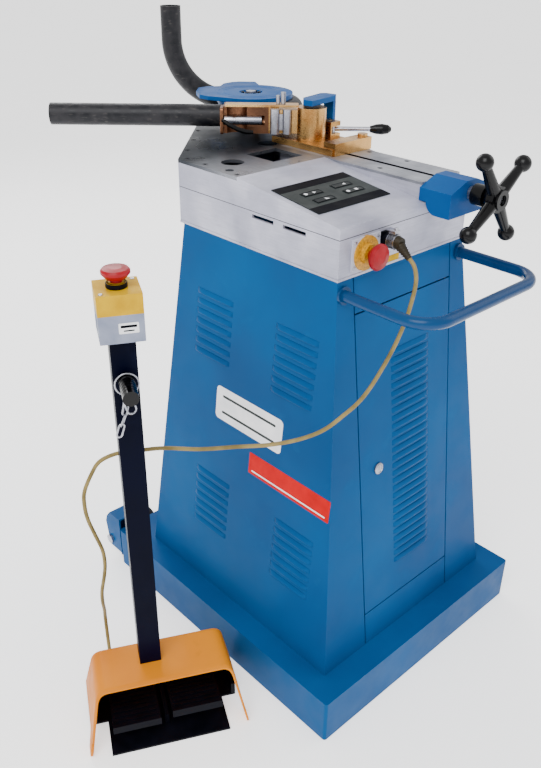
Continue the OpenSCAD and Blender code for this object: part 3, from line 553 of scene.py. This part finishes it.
def louvre(bm, place, x0, x1, slot_low, slot_h=5):
    """Pressed hood over one slot, open underneath, in mm on a facing frame."""
    across, down = 14, 5
    top, bottom, depth = slot_low + slot_h + 4.5, slot_low - 0.5, 4.2
    grid = []
    for j in range(down + 1):
        v = j / down
        row = []
        for i in range(across + 1):
            u = i / across
            ease = (1 - abs(2 * u - 1) ** 5) ** 0.5
            out = depth * math.sin(v * math.pi / 2) * ease
            x = x0 - 3 + (x1 - x0 + 6) * u
            z = top + (bottom - top) * v
            row.append(bm.verts.new(place @ (Vector((x, -(out + 0.1), z)) * MM)))
        grid.append(row)
    for one, two in zip(grid, grid[1:]):
        for i in range(across):
            bm.faces.new((one[i], two[i], two[i + 1], one[i + 1]))


def up_side(z):
    """Distance up a leaning side panel to a height above the floor, in mm."""
    return (z - shell_lo.z / MM) * side_stretch


def add_louvres():
    groups = ((51, 733), (-169, 733), (24, 353), (-214, 353))
    for name, place, flip in (("left_louvres", on_left, -1), ("right_louvres", on_right, 1)):
        bm = bmesh.new()
        for y0, z in groups:
            near, far = sorted((flip * y0, flip * (y0 + 98)))
            for i in range(7):
                louvre(bm, place, near, far, up_side(z - LOUVRE_PITCH * i))
        piece(name, bm, FINISH["blue_paint"], ROOT, thick=0.9 * MM)
    bm = bmesh.new()
    for i in range(28):
        louvre(bm, on_front, -36, 64, 150 + 16.5 * i)
    piece("door_louvres", bm, FINISH["blue_paint"], "door", thick=0.9 * MM)
    bm = bmesh.new()
    back_stretch = math.hypot(1, back_run / cab_rise)
    for i in range(8):
        louvre(bm, on_back, -60, 60, (640 + LOUVRE_PITCH * i - shell_lo.z / MM) * back_stretch)
    piece("back_louvres", bm, FINISH["blue_paint"], ROOT, thick=0.9 * MM)


def add_side_labels():
    """Plain plates where the maker's signs are: no words, only bars and a line."""
    z = up_side(530.5)
    bm = bmesh.new()
    plate(bm, on_left, rounded(187, 70, 9, 16.5, z), 0, 0.5)
    piece("side_label", bm, FINISH["white_film"], ROOT, bevel=0.0001)
    bm = bmesh.new()
    for h in (-17, 17):
        plate(bm, on_left, rounded(150, 5, 2.4, 16.5, z + h), 0.45, 0.7)
    piece("side_label_bars", bm, FINISH["overlay"], ROOT)
    z = up_side(442.5)
    bm = bmesh.new()
    plate(bm, on_left, rounded(214, 45, 2, 137, z), 0, 0.5)
    piece("side_strip", bm, FINISH["red_film"], ROOT, bevel=0.0001)
    bm = bmesh.new()
    plate(bm, on_left, rounded(196, 3, 1.4, 137, z - 15), 0.45, 0.7)
    piece("side_strip_line", bm, FINISH["white_film"], ROOT)


# ---------------------------------------------------------------- head details

DOOR_HALF = 128
KEYS = {
    "start_key": (-104, 126), "reverse_key": (-30, 128), "angle_key": (-103, 97), "stop_key": (-27, 101),
}


def add_overlay_marks():
    bm = bmesh.new()
    for y in (58 + 11, 171 - 11):
        slab(bm, on_slope, rounded(175, 22, 1.5, -67.5, y), 1.55, 1.8)
    piece("overlay_bands", bm, FINISH["dark_film"], ROOT)
    signs = {
        "start_key": [(-3, -3), (4, 0), (-3, 3)],
        "reverse_key": [(3, -3), (3, 3), (-4, 0)],
        "angle_key": [(-4, -3), (4, -3), (-4, 3)],
        "stop_key": [(-3, -3), (3, -3), (3, 3), (-3, 3)],
    }
    for key, outline in signs.items():
        x, y = KEYS[key]
        bm = bmesh.new()
        slab(bm, on_slope, [(x + 6 + px, y + py) for px, py in outline], 2.55, 2.8)
        if key in ("start_key", "stop_key"):
            slab(bm, on_slope, rounded(7, 7, 3.4, x - 14, y), 2.55, 2.9)
        piece(key + "_sign", bm, FINISH["white_film"], key)
        bm = bmesh.new()
        outer = rounded(43, 13, 3, x, y)
        inner = rounded(41, 11, 2.4, x, y)
        made = []
        for outline_points, z in ((outer, 2.55), (outer, 2.85), (inner, 2.85), (inner, 2.55)):
            made.append([on_slope @ Vector((px * MM, py * MM, z * MM)) for px, py in outline_points])
        skin(bm, made, True)
        piece(key + "_border", bm, FINISH["dark_film"], key)


def add_nose_details():
    bm = bmesh.new()
    for x, z in ((-132, 868), (-78, 868), (-132, 911), (-78, 911)):
        place = on_nose @ Matrix.Translation(Vector((x, -3, z)) * MM) @ TURNED_OUT
        lathe(bm, place, [(3.2, -0.5), (3.2, 0.8), (2.4, 1.5), (1.2, 1.5), (1.0, 0.7)], 20)
    piece("estop_plate_screws", bm, FINISH["bright_steel"], ROOT)
    bm = bmesh.new()
    plug = on_nose @ Matrix.Translation((-57 * MM, 0, 901 * MM))
    plate(bm, plug, rounded(12, 4, 1.5, 0, 17.5), 6, 26)
    plate(bm, plug, rounded(7, 7, 1.5, 0, 20), 20, 25)
    piece("plug_latch", bm, FINISH["bright_steel"], ROOT, bevel=0.0005)
    bm = bmesh.new()
    for k in range(9):
        place = plug @ TURNED_OUT @ Matrix.Translation((0, 0, (13.6 + 1.4 * k) * MM))
        hoop(bm, place, 12.6, 0.45, 40)
    piece("plug_knurl", bm, FINISH["dark_steel"], ROOT)
    bm = bmesh.new()
    boot = Matrix.Translation(BOOT_BASE) @ BOOT_DIR.to_track_quat("Z", "Y").to_matrix().to_4x4()
    for k in range(5):
        h = 11 + 4.5 * k
        r = 7.9 - 0.15 * (h - 11)
        hoop(bm, boot @ Matrix.Translation((0, 0, h * MM)), r, 1.0, 28, 8)
    piece("boot_ribs", bm, FINISH["boot_rubber"], ROOT)
    # Thin yellow patch on the nose below the plug.
    bm = bmesh.new()
    plate(bm, on_nose, rounded(44, 12, 1, -38, 861), 0, 0.4)
    piece("nose_yellow_patch", bm, FINISH["yellow_plastic"], ROOT)


HEAD_LEFT_END = 215
HEAD_RIGHT_END = 405
SEAM_Z = 921
SCREW_X = 100
SLOT_HALF = 5


def rim_bars(name, z, tall, proud, material):
    """Flat bars round the left side, nose and right side of the head at one height, in mm."""
    bm = bmesh.new()
    front, half = -head_lo.y / MM, -head_lo.x / MM
    left = facing((head_lo.x, 0, 0), (-1, 0, 0))
    right = facing((-head_lo.x, 0, 0), (1, 0, 0))
    plate(bm, on_nose, rounded(2 * half + 2 * proud, tall, 0.1, 0, z), -0.1, proud)
    plate(bm, left, rounded(front + HEAD_LEFT_END, tall, 0.1, (front - HEAD_LEFT_END) / 2, z), -0.1, proud)
    plate(bm, right, rounded(front + HEAD_RIGHT_END, tall, 0.1, (HEAD_RIGHT_END - front) / 2, z), -0.1, proud)
    piece(name, bm, FINISH[material], ROOT)


def add_slot_painted_shade():
    """Matte black films on the walls of the slot between the two rails: painted shade in the slot."""
    lo, hi = (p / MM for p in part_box("guide_rails"))
    film = 0.12
    bm = bmesh.new()
    for x in (SCREW_X - SLOT_HALF, SCREW_X + SLOT_HALF - film):
        outline = [(x, lo.y), (x + film, lo.y), (x + film, hi.y), (x, hi.y)]
        slab(bm, Matrix.Identity(4), outline, lo.z, hi.z - 0.05)
    # The black films paint the shade inside the slot.
    piece("slot_painted_shade", bm, FINISH["matte_black"], ROOT)


def add_casing_edges():
    """Seam under the head cover, lip along the casing's foot, and the flange below it."""
    rim_bars("cover_seam", SEAM_Z, 1.1, 0.15, "dark_steel")
    rim_bars("casing_lip", head_lo.z / MM + 2, 4, 1.0, "silver_cast")
    front_run = head_lo.y - shell_lo.y
    top = math.hypot(cab_rise, front_run) / MM
    bm = bmesh.new()
    plate(bm, on_front, rounded(2 * DOOR_HALF, 7, 0.1, 0, top - 3.5), -2.9, 0)
    piece("panel_top_flange", bm, FINISH["blue_paint"], ROOT)


def add_former_details():
    bm = bmesh.new()
    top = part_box("former")[1].z / MM
    for a in range(0, 360, 60):
        spot = Matrix.Rotation(math.radians(a + 15), 4, "Z")
        place = Matrix.Translation(former_c) @ spot @ Matrix.Translation((17 * MM, 0, (top - 3.2) * MM))
        lathe(bm, place, [(3.4, 0), (3.4, 3.4), (2.9, 3.9), (1.9, 3.9), (1.7, 2.0)], 18)
    piece("former_screws", bm, FINISH["dark_steel"], "former")
    bm = bmesh.new()
    for r in (70, 58):
        hoop(bm, Matrix.Translation(former_c + Vector((0, 0, top * MM))), r, 0.35, 72)
    piece("former_turning_marks", bm, FINISH["bright_blue"], "former")


def add_die_details():
    """Steel roller let into the counter-die, its end plate, and the black cam lever."""
    along = at_die @ Matrix.Translation((-26 * MM, 46 * MM, 1015 * MM)) @ Matrix.Rotation(math.pi / 2, 4, "Y")
    bm = bmesh.new()
    lathe(bm, along, [(4, 0), (8.4, 2), (8.4, 52), (7.2, 53), (7.2, 57), (8.4, 58), (8.4, 74), (6, 76)], 28)
    piece("die_roller", bm, FINISH["bright_steel"], "die")
    bm = bmesh.new()
    slab(bm, at_die @ Matrix.Translation((50.2 * MM, 0, 0)) @ Matrix.Rotation(math.pi / 2, 4, "Y"),
         [(-x, y) for x, y in rounded(50, 36, 5, 1015, 43)], 0, 6)
    piece("die_end_plate", bm, FINISH["bronze_block"], "die", bevel=0.0007)
    bm = bmesh.new()
    path = [(52, 68, 1020), (40, 70, 1012), (22, 71, 1003), (6, 70, 998), (-8, 68, 997)]
    sweep(bm, [at_die @ (Vector(p) * MM) for p in path], [r * MM for r in (3.5, 4.2, 4.6, 4.6, 3.8)], 12)
    piece("die_cam_lever", bm, FINISH["black_plastic"], "die")


def add_door_details():
    bm = bmesh.new()
    lock = on_front @ Matrix.Translation((-80 * MM, -3 * MM, 383 * MM)) @ TURNED_OUT
    lathe(bm, lock, [(10.6, -0.6), (10.6, 0.2), (9.6, 1.2), (7.6, 1.6), (7.2, 0.6), (0, 0.6)], 36)
    slab(bm, lock, rounded(2.2, 9, 1), 0.5, 1.4)
    piece("lock_face", bm, FINISH["bright_steel"], "door_lock")


# ---------------------------------------------------------------- pedal station details

def stadium(length, width, steps=10):
    """Closed path of a long link, its length along Z, in mm."""
    r = width / 2
    h = length / 2 - r
    arc = [math.pi * k / steps for k in range(steps + 1)]
    return [(r * math.cos(t), 0, h + r * math.sin(t)) for t in arc] + [
        (-r * math.cos(t), 0, -h - r * math.sin(t)) for t in arc
    ]


def link(bm, centre, length, width, wire, lean, turn):
    place = station @ Matrix.Translation(Vector(centre) * MM)
    place = place @ Matrix.Rotation(math.radians(lean), 4, "Y") @ Matrix.Rotation(math.radians(turn), 4, "Z")
    sweep(bm, [place @ (Vector(p) * MM) for p in stadium(length, width)], wire * MM, 8, True)


def add_pin_chain():
    """Split ring round the grip, with the links and snap hook that hang from it."""
    bm = bmesh.new()
    ring_z = 738 - 4
    link(bm, (-20, -31, ring_z), 37, 36.9, 1.3, 0, 0)
    link(bm, (-22, -31, ring_z - 24), 18, 9, 1.2, 14, 70)
    link(bm, (-18, -31, ring_z - 38), 30, 15, 1.7, -16, 20)
    link(bm, (-25, -32, ring_z - 40), 26, 7, 1.9, 12, 0)
    link(bm, (-30, -33, ring_z - 62), 22, 8, 1.3, 22, 60)
    link(bm, (-36, -33, ring_z - 80), 24, 9, 1.5, 18, 10)
    piece("pin_chain", bm, FINISH["bright_steel"], "lock_pin")


HOOD_TOP = 122
HOOD_CUT = 30.2
HOOD_BEND = 20
HOOD_LOW = (152, -112, 64)
HOOD_HIGH = (126, -70, 38)
CHEEK_FOOT = ((1, -101.8, -80.6), (3, -104, -78.3), (9, -106.4, -74.5), (16, -106.4, -72), (28, -102.4, -64),
              (HOOD_CUT, -101.6, -58.9))


def hood_at(z):
    """Half width, front and back of the folded sheet at one height."""
    return [low + (high - low) * z / HOOD_TOP for low, high in zip(HOOD_LOW, HOOD_HIGH)]


def hood_section():
    """The sheet's section from the middle of its top, round the bend and down one cheek."""
    corner = Vector((HOOD_HIGH[0], HOOD_TOP))
    down = (Vector((HOOD_LOW[0], 0)) - corner).normalized()
    start = corner - Vector((HOOD_BEND, 0))
    end = corner + HOOD_BEND * down
    steps = 8
    bend = [
        (1 - t) ** 2 * start + 2 * t * (1 - t) * corner + t * t * end
        for t in (k / steps for k in range(steps + 1))
    ]
    cheek = [corner + down * (HOOD_TOP - z) / -down.y for z in (84, 60, HOOD_CUT)]
    return [Vector((x, HOOD_TOP)) for x in (0, 40, 80)] + bend + cheek


def add_pedal_hood():
    """Guard folded from one sheet: round bends, an open front and cheeks that reach forward."""
    half = hood_section()
    section = [(-x, z) for x, z in reversed(half[1:])] + [(x, z) for x, z in half]
    bm = bmesh.new()
    columns = 10
    grid = []
    for x, z in section:
        front, back = hood_at(z)[1:]
        ys = [front + (back - front) * k / columns for k in range(columns + 1)]
        grid.append([bm.verts.new(station @ (Vector((x, y, z)) * MM)) for y in ys])
    for one, two in zip(grid, grid[1:]):
        for k in range(columns):
            bm.faces.new((one[k], two[k], two[k + 1], one[k + 1]))
    bm.faces.new([row[-1] for row in grid])
    for side in (-1, 1):
        foot = [
            [bm.verts.new(station @ (Vector((side * hood_at(z)[0], y, z)) * MM)) for y in (front, back)]
            for z, front, back in CHEEK_FOOT
        ]
        for one, two in zip(foot, foot[1:]):
            bm.faces.new((one[0], one[1], two[1], two[0]) if side > 0 else (one[0], two[0], two[1], one[1]))
    hood = piece("folded_hood", bm, FINISH["orange_paint"], ROOT, recalc=False)
    fold = hood.modifiers.new("back_folds", "BEVEL")
    fold.width = 9 * MM
    fold.segments = 4
    fold.limit_method = "ANGLE"
    fold.angle_limit = math.radians(50)
    sheet = hood.modifiers.new("sheet", "SOLIDIFY")
    sheet.thickness = 4 * MM
    sheet.offset = -1
    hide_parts("pedal_hood")
    bm = bmesh.new()
    behind = station @ Matrix.Translation(Vector((GLAND_X, HOOD_HIGH[2], GLAND_Z)) * MM)
    behind = behind @ Matrix.Rotation(-math.pi / 2, 4, "X")
    lathe(bm, behind, [(3.8, 5), (11, 5), (10.5, 12), (8.5, 13), (6.5, 25), (5.5, 26), (3.8, 26)], 36, True)
    piece("hood_gland", bm, FINISH["matte_black"], ROOT)


def add_station_details():
    lid_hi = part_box("station_lid")[1].z / MM
    bm = bmesh.new()
    for x, y in ((-26, -26), (26, 26)):
        place = station @ Matrix.Translation(((x - 20) * MM, y * MM, 882 * MM))
        lathe(bm, place, [(3.6, -1), (3.6, 0.3), (2.8, 1.2), (1.2, 1.2), (1.0, 0.4)], 20)
    piece("lid_screws", bm, FINISH["bright_steel"], ROOT)
    bm = bmesh.new()
    collar = ((15.4, -8), (16.4, -7), (16.4, -1), (14.5, 0), (12, 0), (11.6, -2))
    lathe(bm, station @ Matrix.Translation((post_x, 0, 0)), [(r, lid_hi + h) for r, h in collar], 40)
    piece("button_collar", bm, FINISH["matte_black"], ROOT)
    left = station @ facing((-54 * MM, 0, 828 * MM), (-1, 0, 0))
    bm = bmesh.new()
    for r in (12.5, 8.5):
        hoop(bm, left @ TURNED_OUT, r, 0.7, 40)
    piece("knockout_rings", bm, FINISH["grey_plastic"], ROOT)
    front = station @ facing((post_x, -34 * MM, 0), (0, -1, 0))
    bm = bmesh.new()
    plate(bm, front, rounded(30, 17, 1.5, 10, 829), 0, 0.5)
    piece("box_label", bm, FINISH["white_film"], ROOT)
    bm = bmesh.new()
    plate(bm, front, rounded(24, 4, 0.8, 10, 832), 0.45, 0.7)
    plate(bm, front, rounded(16, 2, 0.8, 10, 825), 0.45, 0.7)
    piece("box_label_bars", bm, FINISH["dark_film"], ROOT)


# ---------------------------------------------------------------- floor

def add_floor():
    bpy.ops.mesh.primitive_plane_add(size=80, location=(0, 0, CAD_BOX[0].z - 0.0005))
    floor = bpy.context.object
    floor.name = "floor"
    f = Finish("pale_floor", 0.6)
    cloud = f.noise(1.5, 3)
    f.colour(f.mix(f.spread(cloud, 0.3, 0.7, 0, 1), rgb(252, 252, 252), rgb(247, 248, 249)))
    f.bump(f.noise(60, 4), 0.0005, 0.1)
    f.shader.inputs["Emission Color"].default_value = (1, 1, 1, 1)
    f.shader.inputs["Emission Strength"].default_value = 0.9
    floor.data.materials.append(f.material)


# ---------------------------------------------------------------- the scene

add_camera()
FINISH = make_finishes()
add_cord()
dress_nodes()
add_louvres()
add_side_labels()
add_overlay_marks()
add_nose_details()
add_casing_edges()
add_slot_painted_shade()
add_former_details()
add_die_details()
add_door_details()
add_pin_chain()
add_pedal_hood()
add_station_details()
add_floor()
add_studio()
